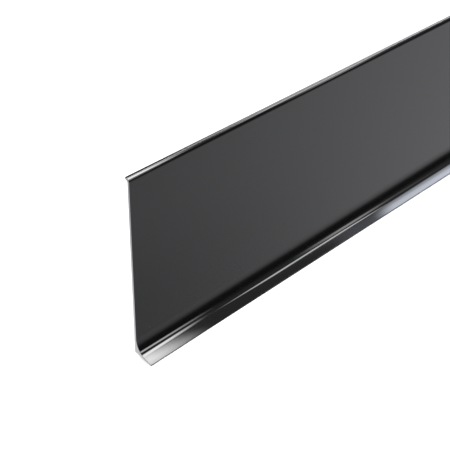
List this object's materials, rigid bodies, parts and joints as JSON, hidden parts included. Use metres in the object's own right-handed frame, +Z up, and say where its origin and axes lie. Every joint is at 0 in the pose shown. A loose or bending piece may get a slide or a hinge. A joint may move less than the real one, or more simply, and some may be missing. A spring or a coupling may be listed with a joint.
{
  "type": "kick plate",
  "caption": "Self-adhesive kick plate: gloss black aluminium extrusion with a rounded top lip, a cove and a sloping foot, bonded to a wall or plinth by foam tape.",
  "frame": {"origin": "at floor level, below the middle of the bar, halfway between the toe of the foot and the liners' outer faces", "axes": "+X along the bar, -Y out of the coated front face, +Y into the wall, +Z up"},
  "size_m": [0.6, 0.01, 0.08],
  "materials": {
    "gloss_black_aluminium": "gloss",
    "foam_tape": "matte",
    "release_liner": "satin"
  },
  "bodies": {
    "plate": {"kick_plate_profile": "gloss_black_aluminium", "upper_foam_tape": "foam_tape", "lower_foam_tape": "foam_tape"},
    "upper_liner": {"upper_release_liner": "release_liner"},
    "lower_liner": {"lower_release_liner": "release_liner"}
  },
  "joints": [
    {"name": "upper_liner_peel", "type": "slide", "parent": "plate", "child": "upper_liner", "axis": [0, 1, 0], "range_m": [0, 0.03]},
    {"name": "lower_liner_peel", "type": "slide", "parent": "plate", "child": "lower_liner", "axis": [0, 1, 0], "range_m": [0, 0.03]}
  ]
}
